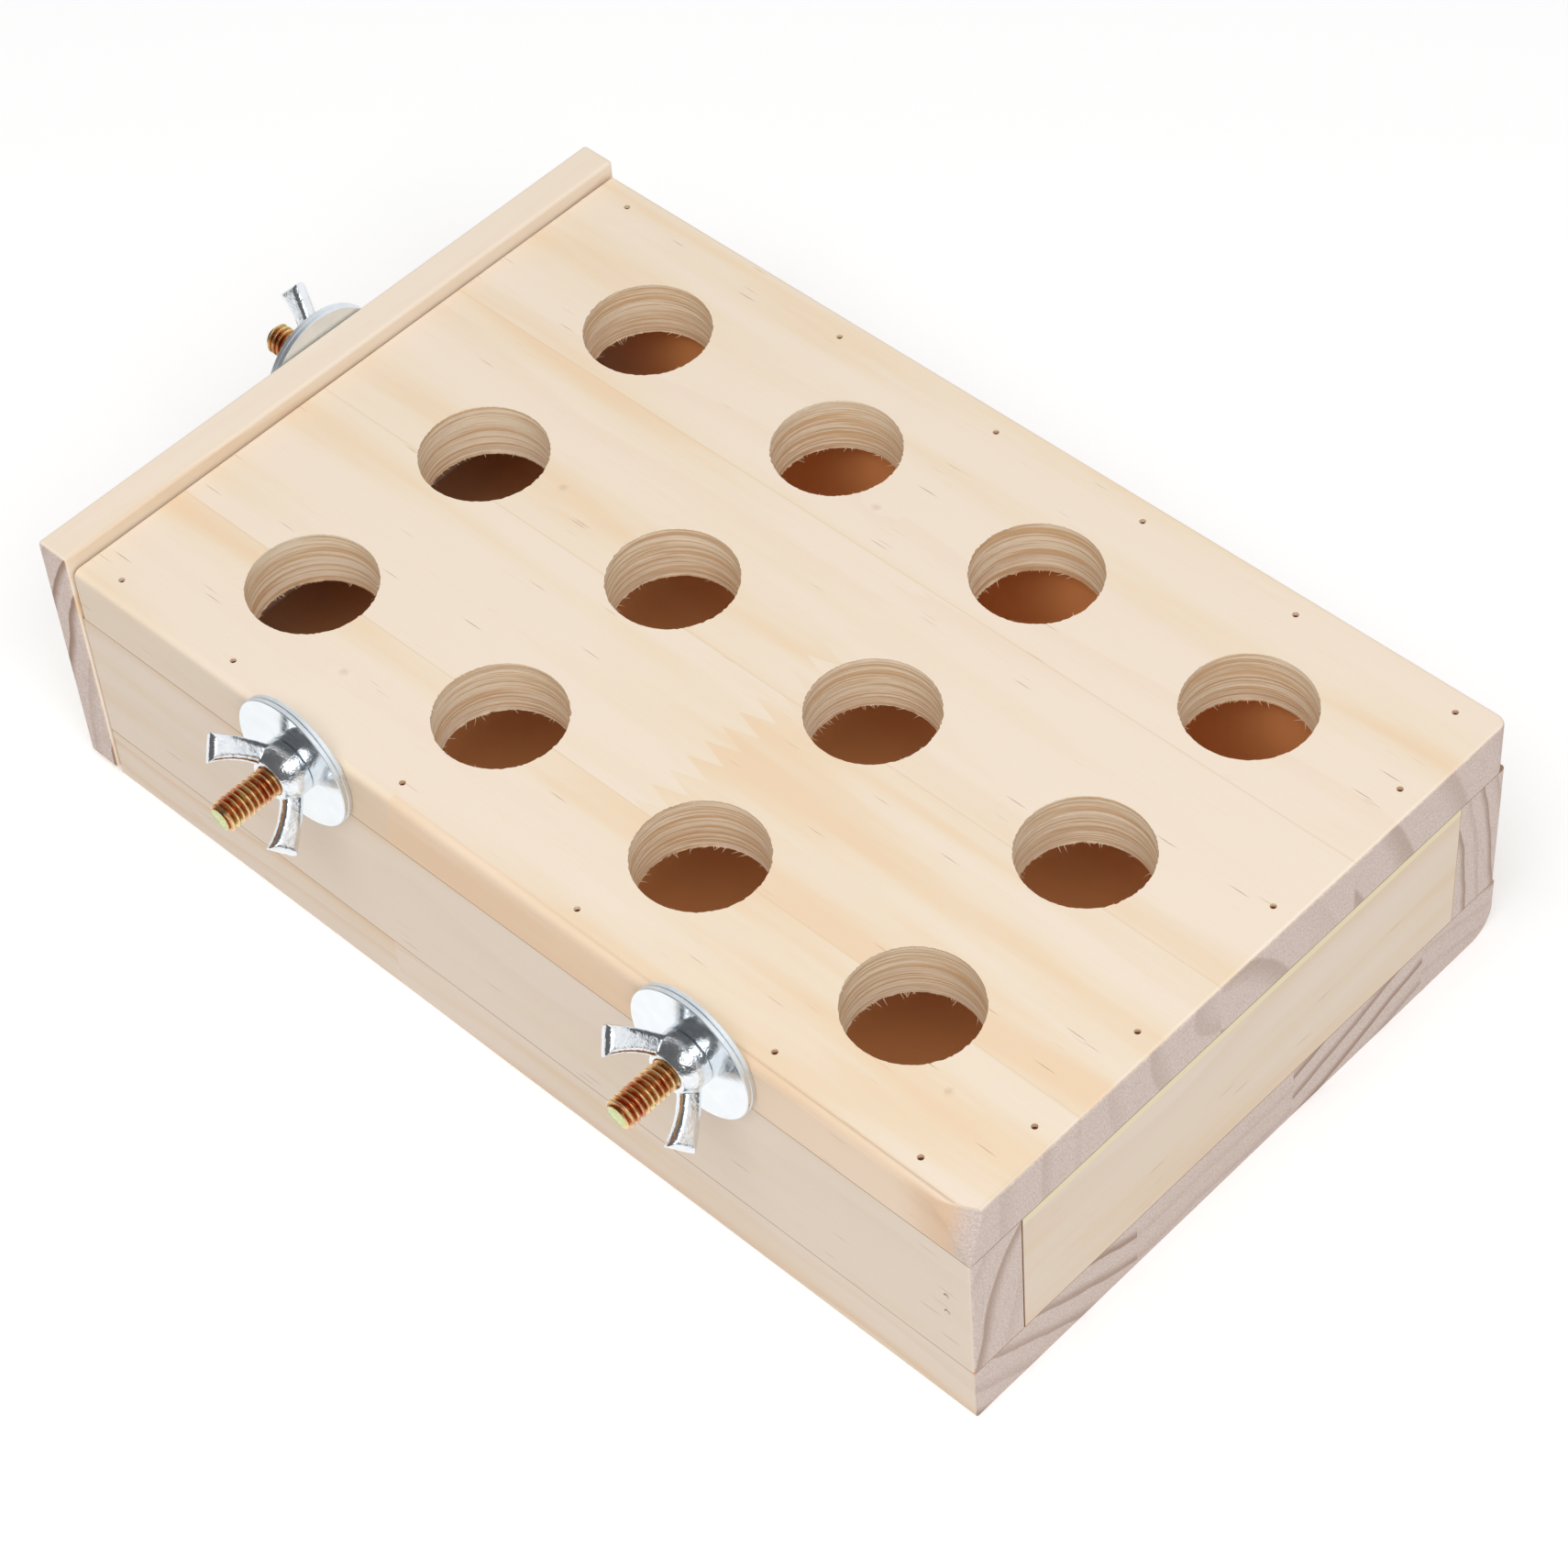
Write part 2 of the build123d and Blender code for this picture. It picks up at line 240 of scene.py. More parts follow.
def pine(
    name,
    along,
    across,
    deep,
    staves=(),
    joints=(0.0,),
    heart_depth=45.0,
    heart_spread=60.0,
    ring_gap=9.0,
    ring_show=0.3,
    end_ring_show=0.9,
    tan=0.35,
    seams=(),
    seed=1.0,
    knots=(),
    bored_within=None,
    slope_shade_strip=None,
    sanded_from=None,
    shade_end_grain_only=False,
    inner_shade=None,
    highlight_from=None,
):
    """Sanded pine. along, across and deep name the axes of the grain, of the board's width and
    of its thickness. staves are the glue lines across it, and joints where each stave is
    finger-jointed along it. Lengths are in millimetres."""
    finish, w, shader = new_finish(name)
    axis = dict(zip("XYZ", w.split(w.place())))
    normal = dict(zip("XYZ", w.facing()))
    a, c, d = axes = axis[along], axis[across], axis[deep]
    length, glue = lay_staves(w, a, c, staves, joints, seed)
    luck = w.put("ShaderNodeSeparateColor", {0: w.chance(length, out=1)}).node.outputs
    late = growth_rings(w, axes, length, luck, knots, heart_depth, heart_spread, ring_gap)
    pore = resin_dashes(w, axes, length)

    # long soft streaks and fine fibres, drawn out along the grain
    streak = w.vector(*w.divided((a, c), (120.0, 11.0)), w.maths("MULTIPLY_ADD", d, 0.08, length))
    broad = w.noise(streak, detail=3.0)
    strand = w.vector(*w.divided(axes, (14.0, 1 / 2.6, 1 / 2.6)))
    fibre = w.noise(strand, detail=4.0, roughness=0.7)

    tone = w.maths("MULTIPLY_ADD", w.maths("SUBTRACT", luck[1], 0.5), 0.3, broad)
    face = w.blend(w.fade(tone, 0.36, 0.70), PALE_WOOD, CREAM_WOOD)
    face = w.blend(w.maths("MULTIPLY", w.fade(tone, 0.50, 0.72), tan), face, TAN_WOOD)
    face = w.blend(w.maths("MULTIPLY", late, ring_show), face, LATE_WOOD)
    face = w.blend(w.fade(fibre, 0.5, 0.8, 0.0, 0.3), face, TAN_WOOD)
    face = w.blend(w.maths("MULTIPLY", pore, 0.85), face, PORE)
    face = w.blend(w.maths("MULTIPLY", glue, 0.35), face, GLUE)

    # end grain, where the surface cuts across the fibres
    speckle = w.noise(w.vector(*w.divided(axes, (1 / 2.2, 1 / 2.2, 1 / 2.2))), detail=4.0)
    rays = w.noise(w.vector(*w.divided((c, d), (4.0, 1 / 3)), length), detail=3.0)
    end = w.blend(w.fade(speckle, 0.35, 0.65, 0.0, 0.3), END_PALE, END_DARK)
    end = w.blend(w.maths("MULTIPLY", late, end_ring_show), end, END_DARK)
    end = w.blend(w.fade(rays, 0.5, 0.7, 0.0, 0.22), end, END_DARK)
    cut = w.maths("ABSOLUTE", normal[along])
    end_grain = w.fade(cut, 0.55, 0.85)
    wood = w.blend(end_grain, face, end)

    # painted shade: upright faces are multiplied a little darker and greyer than faces that look up
    steepness = w.maths("ABSOLUTE", normal["Z"])
    upright_shade = w.fade(steepness, 0.3, 0.9, 1.0, 0.0)
    # on some boards only the upright end grain gets this painted shade
    if shade_end_grain_only:
        upright_shade = w.maths("MULTIPLY", upright_shade, end_grain)
    wood = w.blend(upright_shade, wood, UPRIGHT_SHADE_TINT, how="MULTIPLY")

    if slope_shade_strip is not None:
        # painted shade: a tan strip along one edge, from a slanting end onwards, for the shade on a
        # sanded slope along that edge
        strip_start, strip_line = slope_shade_strip
        strip_end = w.maths("MULTIPLY_ADD", axis["Z"], -0.12, w.maths("ADD", a, 6.5))
        beside = w.maths("LESS_THAN", c, strip_line)
        in_slope_shade = w.maths("MULTIPLY", beside, w.maths("GREATER_THAN", strip_end, strip_start))
        slope_shade_tone = w.blend(w.fade(broad, 0.4, 0.7), TAN_WOOD, LATE_WOOD)
        wood = w.blend(w.maths("MULTIPLY", in_slope_shade, 0.4), wood, slope_shade_tone)

    for knot_along, knot_across, knot_size in knots:
        # the faint dark pip in the middle of a knot
        knot = (knot_along, knot_across, 0.0)
        away = w.vector_maths("DISTANCE", w.vector(a, c, 0.0), knot, out=1)
        pip = w.fade(w.maths("MULTIPLY_ADD", speckle, 1.6, away), 0.9, 2.1, 0.22, 0.0)
        wood = w.blend(pip, wood, PORE)

    if highlight_from is not None:
        # painted highlight: a yellower, lighter band along the top edge, standing in for a planed
        # bevel catching the light
        bevel_highlight = w.fade(axis["Z"], highlight_from, highlight_from + 0.4, 0.0, 0.8)
        wood = w.blend(bevel_highlight, wood, BEVEL_HIGHLIGHT)

    if sanded_from is not None:
        # a corner sanded round by hand, where the face turns slowly into end grain
        corner_along, corner_across, corner_top = sanded_from
        corner = w.product(
            w.fade(a, corner_along - 5.0, corner_along + 8.0),
            w.maths("LESS_THAN", c, corner_across),
            w.fade(axis["Z"], corner_top - 0.8, corner_top, 1.0, 0.0),
        )
        worn = w.blend(w.fade(broad, 0.35, 0.65), TAN_WOOD, LATE_WOOD)
        ragged = w.maths("MULTIPLY_ADD", fibre, 3.0, a)
        worn = w.blend(w.fade(ragged, corner_along + 8.5, corner_along + 13.5), worn, end)
        # painted shade, as on upright faces, is multiplied over the worn corner
        wood = w.blend(corner, wood, w.blend(1.0, worn, UPRIGHT_SHADE_TINT, how="MULTIPLY"))

    for seam_axis, seam_at in seams:
        # the dark hairline where two boards meet
        ragged = w.maths("MULTIPLY_ADD", fibre, -0.12, w.gap(axis[seam_axis], seam_at))
        wood = w.blend(w.fade(ragged, 0.0, 0.1, 0.8, 0.0), wood, SEAM_SHADE)

    height = w.maths("MULTIPLY_ADD", fibre, 0.5, w.product(speckle, cut, 0.9))
    height = w.maths("MULTIPLY_ADD", pore, -0.5, height)
    if bored_within is not None:
        # the scored wall of a hole: every upright face that isn't the board's own edge
        wall = w.fade(steepness, 0.3, 0.5, 1.0, 0.0)
        for letter, limit in zip("XY", bored_within):
            inboard = w.maths("LESS_THAN", w.maths("ABSOLUTE", axis[letter]), limit)
            wall = w.maths("MULTIPLY", wall, inboard)
        turning = w.vector(*w.divided((axis["X"], axis["Y"], d), (1 / 0.03, 1 / 0.03, 0.5)))
        drag = w.noise(turning, detail=4.0, roughness=0.65)
        # the walls are painted paler than the board's own face, painted light for the light falling
        # into the holes; the rings are the bit's scoring
        scored = w.blend(w.fade(drag, 0.44, 0.58), BORE_LIT_PALE, BORE_DARK)
        wood = w.blend(w.maths("MULTIPLY", wall, 0.92), wood, scored)
        height = w.maths("ADD", height, w.product(drag, wall, 2.5))

    if inner_shade is not None:
        # painted shade: faces turned to the inside are painted a deeper orange-brown for the dim
        # light inside the box, less of it towards the cover end
        inner_axis, inner_low, inner_high = inner_shade
        inside = w.product(
            w.maths("GREATER_THAN", axis[inner_axis], inner_low),
            w.maths("LESS_THAN", axis[inner_axis], inner_high),
            w.fade(axis["X"], -114.0, -86.0, 0.35, 1.0),
        )
        wood = w.blend(inside, wood, INNER_SHADE)

    wear = w.maths("MULTIPLY_ADD", cut, -0.8, late)
    surface = {
        "Base Color": wood,
        "Roughness": w.fade(wear, -0.8, 1.0, 0.78, 0.5),
        "Normal": w.bump(height, 0.07 * MM, 0.55),
        "Specular IOR Level": 0.3,
    }
    w.feed(shader, surface)
    return finish


hole_pitch_x, hole_pitch_y = 51.4 * MM, 45.5 * MM
hole_radius = 13.0 * MM
hole_rows, hole_columns = 4, 3
hole_centres = [
    ((i - (hole_rows - 1) / 2) * hole_pitch_x, (j - (hole_columns - 1) / 2) * hole_pitch_y)
    for i in range(hole_rows)
    for j in range(hole_columns)
]
board_low, board_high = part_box("top_board")
board_middle = (board_low.z + board_high.z) / 2
floor_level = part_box("bottom_board")[1].z / MM
ceiling_level = board_low.z / MM

top_pine = pine(
    "pine_top",
    along="X",
    across="Y",
    deep="Z",
    staves=(-44.8, -7.8, 29.2),
    joints=(-400.0, 7.0, 7.0, 400.0),
    heart_depth=38.0,
    ring_gap=14.0,
    ring_show=0.16,
    end_ring_show=0.6,
    tan=0.6,
    seed=4.0,
    bored_within=(112.0, 70.0),
    # painted shade strip along the front edge
    slope_shade_strip=(-27.3, -71.3),
    sanded_from=(102.0, -66.0, 59.2),
    knots=((-58.7, 3.5, 11.0), (-55.8, -57.0, 4.0), (-9.1, 38.7, 4.0), (94.2, -55.2, 4.0)),
    seams=(("Z", ceiling_level),),
)


def rim_angle(point, centre):
    """Where a point stands round a hole, starting a little off its first corner."""
    return (math.atan2(point.y - centre[1], point.x - centre[0]) + 0.01) % math.tau


def drill_through(bm, centre, number):
    """Gives one plain round hole the wall that a spade bit leaves: fine rings, torn most where
    the bit cuts across the fibres, and a ragged edge at the top and at the underside."""
    on_wall = 0.02 * MM
    levels = 22
    score_depth, tear_depth, upper_jag, lower_jag = 0.10 * MM, 0.06 * MM, 0.22 * MM, 0.28 * MM

    def at_rim(v):
        return abs(math.hypot(v.co.x - centre[0], v.co.y - centre[1]) - hole_radius) < on_wall

    wall = [f for f in bm.faces if all(at_rim(v) for v in f.verts)]
    bmesh.ops.delete(bm, geom=wall, context="FACES")
    rim_edges = [e for e in bm.edges if e.is_boundary and all(at_rim(v) for v in e.verts)]
    bmesh.ops.subdivide_edges(bm, edges=rim_edges, cuts=2)
    rim = {v for e in bm.edges if e.is_boundary for v in e.verts}
    upper = sorted((v for v in rim if v.co.z > board_middle), key=lambda v: rim_angle(v.co, centre))
    lower = sorted((v for v in rim if v.co.z < board_middle), key=lambda v: rim_angle(v.co, centre))
    assert len(upper) == len(lower)
    rings = [upper]
    for level in range(1, levels):
        height = board_high.z + (board_low.z - board_high.z) * level / levels
        rings.append([bm.verts.new((v.co.x, v.co.y, height)) for v in upper])
    rings.append(lower)
    for level, ring in enumerate(rings):
        scored = noise.noise(Vector((level * 1.7, number * 5.3, 0.4)))
        for v in ring:
            angle = rim_angle(v.co, centre)
            across_fibres = abs(math.cos(angle))
            if level == levels:
                jag = noise.noise(Vector((angle * 40.0, number * 7.7, 2.2)))
                reach = hole_radius + lower_jag * jag * (0.25 + across_fibres)
            elif level == 0:
                jag = noise.noise(Vector((angle * 34.0, number * 4.1, 8.8)))
                reach = hole_radius + upper_jag * jag * (0.25 + across_fibres)
            else:
                torn = noise.noise(Vector((angle * 9.0, level * 0.9, number * 3.1)))
                tear = tear_depth * torn * (0.3 + across_fibres)
                reach = hole_radius + score_depth * scored + tear
            spoke = Vector((v.co.x - centre[0], v.co.y - centre[1])).normalized()
            v.co.x = centre[0] + reach * spoke.x
            v.co.y = centre[1] + reach * spoke.y
    count = len(upper)
    for above, below in zip(rings, rings[1:]):
        for i in range(count):
            j = (i + 1) % count
            bm.faces.new((above[i], above[j], below[j], below[i])).smooth = True


def shade_softly(mesh, sharp_degrees):
    """Smooth shading, but for edges that turn by more than the angle."""
    mesh.shade_smooth()
    mesh.set_sharp_from_angle(angle=math.radians(sharp_degrees))


def show(piece):
    """Puts a new piece in the scene."""
    bpy.context.scene.collection.objects.link(piece)
    return piece


bm = bmesh.new()
bm.from_mesh(nodes["top_board"].data)
bmesh.ops.remove_doubles(bm, verts=bm.verts, dist=0.001 * MM)
for number, centre in enumerate(hole_centres):
    drill_through(bm, centre, number)
bmesh.ops.recalc_face_normals(bm, faces=bm.faces)
mesh = bpy.data.meshes.new("drilled_top")
bm.to_mesh(mesh)
bm.free()
shade_softly(mesh, 50)
for polygon in mesh.polygons:
    square_to_board = max(abs(n) for n in polygon.normal) >= 0.99999
    polygon.use_smooth = not square_to_board
mesh.materials.append(top_pine)
drilled_top = show(bpy.data.objects.new("drilled_top", mesh))
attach(drilled_top, "root")
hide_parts("top_board")

# ---------------------------------------------------------------------------------------
# Splinters. Loose fibres that the bit tears up round the rims of the holes, a few on top
# and more at the underside, lying mostly along the grain.
# ---------------------------------------------------------------------------------------


def new_tree(name, **sizes):
    """A Geometry Nodes tree with one input for each size, and its wiring."""
    tree = bpy.data.node_groups.new(name, "GeometryNodeTree")
    tree.interface.new_socket(name="Mesh", in_out="OUTPUT", socket_type="NodeSocketGeometry")
    for label, kind in sizes.items():
        tree.interface.new_socket(name=label, in_out="INPUT", socket_type=f"NodeSocket{kind}")
    inlet = tree.nodes.new("NodeGroupInput")
    return tree, Wiring(tree), {label: inlet.outputs[label] for label in sizes}


def finish_tree(w, shape, finish):
    """Ends a tree: real geometry, with its material on it."""
    shape = w.put("GeometryNodeRealizeInstances", {0: shape})
    shape = w.put("GeometryNodeSetMaterial", {"Geometry": shape, "Material": finish})
    w.feed(w.tree.nodes.new("NodeGroupOutput"), {0: shape})


def grow(name, tree, sizes, place=None):
    """Runs a tree once and keeps what it makes as a plain mesh, at its place."""
    piece = show(bpy.data.objects.new(name, bpy.data.meshes.new(name)))
    modifier = piece.modifiers.new(name, "NODES")
    modifier.node_group = tree
    for item in tree.interface.items_tree:
        if item.in_out == "INPUT" and item.name in sizes:
            modifier[item.identifier] = sizes[item.name]
    evaluated = piece.evaluated_get(bpy.context.evaluated_depsgraph_get())
    mesh = bpy.data.meshes.new_from_object(evaluated)
    piece.modifiers.remove(modifier)
    piece.data = mesh
    if place is not None:
        mesh.transform(place)
    return piece


splinter_finish, w, shader = new_finish("torn_fibre")
fibre_tone = w.noise(w.place(0.9))
fibre_colour = w.blend(fibre_tone, sheet_colour(250, 238, 220), sheet_colour(222, 196, 164))
w.feed(shader, {"Base Color": fibre_colour, "Roughness": 0.75})

splinter_tree, w, size = new_tree(
    "rim_splinters", Radius="Float", Height="Float", Length="Float", Share="Float", Seed="Int"
)
rim = w.put("GeometryNodeMeshCircle", {"Vertices": 150, "Radius": size["Radius"]})
rim = w.put(
    "GeometryNodeStoreNamedAttribute",
    {"Geometry": rim, "Name": "spoke", "Value": w.put("GeometryNodeInputPosition")},
    data_type="FLOAT_VECTOR",
)
hole_grid = {
    "Size X": (hole_rows - 1) * hole_pitch_x,
    "Size Y": (hole_columns - 1) * hole_pitch_y,
    "Vertices X": hole_rows,
    "Vertices Y": hole_columns,
}
centres = w.put("GeometryNodeMeshGrid", hole_grid)
rims = w.put("GeometryNodeInstanceOnPoints", {"Points": centres, "Instance": rim})
rims = w.put("GeometryNodeRealizeInstances", {0: rims})
lift = w.vector(0.0, 0.0, size["Height"])
lifted = w.put("GeometryNodeSetPosition", {"Geometry": rims, "Offset": lift})

spoke = w.put("GeometryNodeInputNamedAttribute", {"Name": "spoke"}, data_type="FLOAT_VECTOR")
outward = w.vector_maths("NORMALIZE", spoke)
toward_grain = w.maths("ABSOLUTE", w.split(outward)[0])
draw = {2: 0.0, 3: 1.0, "Seed": size["Seed"]}
luck = w.put("FunctionNodeRandomValue", draw, out=1, data_type="FLOAT")
likely = w.product(size["Share"], w.maths("MULTIPLY_ADD", toward_grain, 0.9, 0.35))
torn_up = w.maths("LESS_THAN", luck, likely)

inward = w.scaled(outward, -0.75)
draw = {0: (-0.9, -0.45, -0.5), 1: (0.9, 0.45, 0.3), "Seed": size["Seed"]}
stray = w.put("FunctionNodeRandomValue", draw, data_type="FLOAT_VECTOR")
lie = w.vector_maths("ADD", inward, stray)
turn = w.put("FunctionNodeAlignRotationToVector", {"Vector": lie}, axis="Z")
draw = {2: 0.2, 3: 1.0, "Seed": w.maths("ADD", size["Seed"], 5.0)}
reach = w.put("FunctionNodeRandomValue", draw, out=1, data_type="FLOAT")
mostly_short = 2.2
reach = w.product(w.maths("POWER", reach, mostly_short), size["Length"])
blade = w.put(
    "GeometryNodeMeshCone",
    {"Vertices": 5, "Radius Top": 0.012 * MM, "Radius Bottom": 0.07 * MM, "Depth": 1.0 * MM},
)
blades = w.put(
    "GeometryNodeInstanceOnPoints",
    {
        "Points": lifted,
        "Selection": torn_up,
        "Instance": blade,
        "Rotation": turn,
        "Scale": w.vector(1.0, 1.0, reach),
    },
)
finish_tree(w, blades, splinter_finish)

rim_radius = hole_radius + 0.05 * MM
upper_rim = {"Height": board_high.z - 0.06 * MM, "Length": 0.9, "Share": 0.12, "Seed": 3}
lower_rim = {"Height": board_low.z + 0.05 * MM, "Length": 1.7, "Share": 0.55, "Seed": 8}
for end, sizes in (("upper", upper_rim), ("lower", lower_rim)):
    splinters = grow(f"{end}_splinters", splinter_tree, {"Radius": rim_radius, **sizes})
    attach(splinters, "root")

# ---------------------------------------------------------------------------------------
# Bottom board, side boards and fixed end board. Pine of the same kind, nailed and glued
# edge to edge, so that the side boards and the bottom show their end grain at the end.
# ---------------------------------------------------------------------------------------
inner_side, inner_end = 60.5, 102.0
skin = 0.02  # what is this near an inner face counts as inner
board_seams = (("Z", floor_level), ("Z", ceiling_level))
boards = {
    "bottom_board": dict(
        along="X",
        across="Y",
        deep="Z",
        staves=(-30.0, 14.0, 52.0),
        joints=(-40.0, 300.0, -300.0, 20.0),
        heart_depth=150.0,
        ring_gap=6.0,
        ring_show=0.5,
        tan=0.7,
        seed=31.0,
        seams=(("Z", floor_level),),
        inner_shade=("Z", floor_level - skin, floor_level + 1.0),
    ),
    "front_side_board": dict(
        along="X",
        across="Z",
        deep="Y",
        joints=(-400.0,),
        heart_depth=26.0,
        ring_gap=8.0,
        ring_show=0.5,
        tan=0.95,
        seed=53.0,
        seams=board_seams,
        inner_shade=("Y", -inner_side - skin, 0.0),
    ),
    "back_side_board": dict(
        along="X",
        across="Z",
        deep="Y",
        joints=(60.0,),
        heart_depth=80.0,
        heart_spread=20.0,
        ring_gap=4.2,
        end_ring_show=1.0,
        seed=61.0,
        seams=board_seams,
        inner_shade=("Y", 0.0, inner_side + skin),
    ),
    "fixed_end_board": dict(
        along="Y",
        across="Z",
        deep="X",
        joints=(300.0,),
        heart_depth=50.0,
        ring_gap=10.0,
        ring_show=0.45,
        tan=0.3,
        seed=77.0,
        seams=(*board_seams, ("Y", -60.25), ("Y", inner_side)),
        inner_shade=("X", 0.0, inner_end + skin),
        # painted highlight band along the top edge
        highlight_from=44.2,
    ),
}
for board, grain in boards.items():
    dress(nodes[board], pine(f"pine_{board}", **grain))

# ---------------------------------------------------------------------------------------
# End cover. A thinner pine board with its grain running across the box, held by one stud
# so that it can be swung aside. Its two short ends show end grain.
# ---------------------------------------------------------------------------------------
cover_pine = pine(
    "pine_cover",
    along="Y",
    across="Z",
    deep="X",
    joints=(400.0,),
    heart_depth=36.0,
    ring_gap=5.5,
    end_ring_show=1.0,
    tan=0.8,
    # only the cover's upright end grain gets the painted shade
    shade_end_grain_only=True,
    seed=90.0,
)
dress(nodes["end_cover"], cover_pine)

# ---------------------------------------------------------------------------------------
# Nails. Headless steel pins, driven just under the surface, so each is a dark dot. They
# are blued, and a little grimy and rusty at the end that shows.
# ---------------------------------------------------------------------------------------
nail_finish, w, shader = new_finish("blued_steel")
grime = w.noise(w.place(2.5), detail=3.0)
nail_surface = {
    "Base Color": w.blend(grime, sheet_colour(132, 66, 40), sheet_colour(66, 30, 20)),
    "Roughness": w.fade(grime, 0.3, 0.7, 0.5, 0.8),
    "Metallic": 0.1,
}
w.feed(shader, nail_surface)
for name, node in nodes.items():
    if name.endswith("_nails"):
        dress(node, nail_finish)

# ---------------------------------------------------------------------------------------
# Studs. Hanger bolts: a rolled machine thread outside and a wood screw in the board,
# zinc plated and yellow passivated, which leaves copper, red and green tints.
# ---------------------------------------------------------------------------------------
# the crest gold is partly a painted highlight, and the root brown is painted shade
CREST_HIGHLIGHT_GOLD = sheet_colour(236, 204, 150)
COPPER = sheet_colour(208, 152, 100)
RED = sheet_colour(186, 74, 44)
GREEN_GOLD = sheet_colour(206, 206, 136)
PALE_GREEN = sheet_colour(206, 218, 184)
ROOT_SHADE_BROWN = sheet_colour(142, 78, 42)

stud_finish, w, shader = new_finish("yellow_passivated_zinc")
stain = w.noise(w.place(0.22), detail=3.0)
fine = w.noise(w.place(2.5), detail=4.0)
crest = w.put("ShaderNodeAttribute", out="Fac", attribute_name="crest")
flat_end = w.put("ShaderNodeAttribute", out="Fac", attribute_name="flat_end")
flank_tint = w.blend(w.fade(stain, 0.50, 0.60), COPPER, RED)
flank_tint = w.blend(w.fade(stain, 0.34, 0.44, 1.0, 0.0), flank_tint, GREEN_GOLD)
crest_highlight = w.blend(w.fade(stain, 0.45, 0.6), CREST_HIGHLIGHT_GOLD, COPPER)
end_tint = w.blend(w.fade(fine, 0.4, 0.6), PALE_GREEN, GREEN_GOLD)
# painted highlight: the crests are painted a brighter gold; painted shade: the roots are dark
# brown; the copper, red and green stains are the passivation's own tints
tint = w.blend(w.fade(crest, 0.35, 0.9), flank_tint, crest_highlight)
tint = w.blend(w.fade(crest, 0.0, 0.3, 1.0, 0.0), tint, ROOT_SHADE_BROWN)
stud_surface = {
    "Base Color": w.blend(flat_end, tint, end_tint),
    "Roughness": w.fade(fine, 0.3, 0.7, 0.22, 0.42),
    "Normal": w.bump(fine, 0.02 * MM, 0.5),
    "Metallic": 1.0,
}
w.feed(shader, stud_surface)

thread_tree, w, size = new_tree(
    "rolled_thread",
    Pitch="Float",
    Crest="Float",
    Root="Float",
    Length="Float",
    Tip="Float",
    Taper="Float",
    Turns="Int",
)
steps_a_turn, rows_a_turn = 56, 12
rows = w.maths("MULTIPLY_ADD", size["Turns"], float(rows_a_turn), 1.0)
sheet = {"Size X": 1.0, "Size Y": 1.0, "Vertices X": steps_a_turn + 1, "Vertices Y": rows}
grid = w.put("GeometryNodeMeshGrid", sheet)
spot = w.split(w.put("GeometryNodeInputPosition"))
# the sheet's X goes once round the stud, and its Y up the thread, turn after turn
around = w.maths("ADD", spot[0], 0.5)
wound = w.maths("MULTIPLY", w.maths("ADD", spot[1], 0.5), size["Turns"])
turns_up = w.maths("SUBTRACT", w.maths("ADD", wound, around), 1.0)
rise = w.maths("MULTIPLY", turns_up, size["Pitch"])
level = w.maths("MAXIMUM", w.maths("MINIMUM", rise, size["Length"]), 0.0)
within_turn = w.maths("FRACT", w.maths("ADD", wound, 0.0001))
flank = w.maths("ABSOLUTE", w.maths("MULTIPLY_ADD", within_turn, 2.0, -1.0))
flank = w.fade(flank, 0.16, 0.84)
thread_depth = w.maths("SUBTRACT", size["Crest"], size["Root"])
radius = w.maths("MULTIPLY_ADD", flank, thread_depth, size["Root"])
# the thread runs out at the foot, and is chamfered at the tip
to_tip = w.maths("SUBTRACT", size["Length"], level)
tip_limit = w.maths("MULTIPLY_ADD", to_tip, size["Taper"], size["Tip"])
foot_limit = w.maths("ADD", level, w.maths("SUBTRACT", size["Root"], 0.15 * MM))
radius = w.maths("MINIMUM", w.maths("MINIMUM", radius, tip_limit), foot_limit)
# the first and last rows shrink to a point, which closes the ends
between_ends = w.maths("LESS_THAN", w.maths("ABSOLUTE", spot[1]), 0.5 - 1e-5)
radius = w.maths("MULTIPLY", radius, between_ends)
angle = w.maths("MULTIPLY", around, math.tau)
there = w.vector(
    w.maths("MULTIPLY", radius, w.maths("COSINE", angle)),
    w.maths("MULTIPLY", radius, w.maths("SINE", angle)),
    level,
)
past_tip = w.maths("GREATER_THAN", rise, size["Length"])
thread = grid
for label, value in (("crest", flank), ("flat_end", past_tip)):
    stored = {"Geometry": thread, "Name": label, "Value": value}
    thread = w.put("GeometryNodeStoreNamedAttribute", stored, data_type="FLOAT")
thread = w.put("GeometryNodeSetPosition", {"Geometry": thread, "Position": there})
weld = 0.002 * MM
thread = w.put("GeometryNodeMergeByDistance", {"Geometry": thread, "Distance": weld})
finish_tree(w, thread, stud_finish)

machine_thread = {
    "Pitch": 1.27 * MM,
    "Crest": 3.17 * MM,
    "Root": 2.42 * MM,
    "Tip": 2.3 * MM,
    "Taper": 1.1,
}
wood_screw = {
    "Pitch": 2.5 * MM,
    "Crest": 2.88 * MM,
    "Root": 2.05 * MM,
    "Tip": 0.3 * MM,
    "Taper": 0.52,
    "Length": 20.0 * MM,
}
front_out = Matrix(((1, 0, 0), (0, 0, -1), (0, 1, 0))).to_4x4()
end_out = Matrix(((0, 0, -1), (1, 0, 0), (0, -1, 0))).to_4x4()
half_turn = Matrix.Rotation(math.pi, 4, "X")
front_reach, end_reach = 20.0 * MM, 23.9 * MM
stud_spots = {
    "left": (Vector((-hole_pitch_x, board_low.y, board_middle)), front_out, front_reach),
    "right": (Vector((hole_pitch_x, board_low.y, board_middle)), front_out, front_reach),
    "cover": (Vector((board_low.x, 0.0, board_middle)), end_out, end_reach),
}


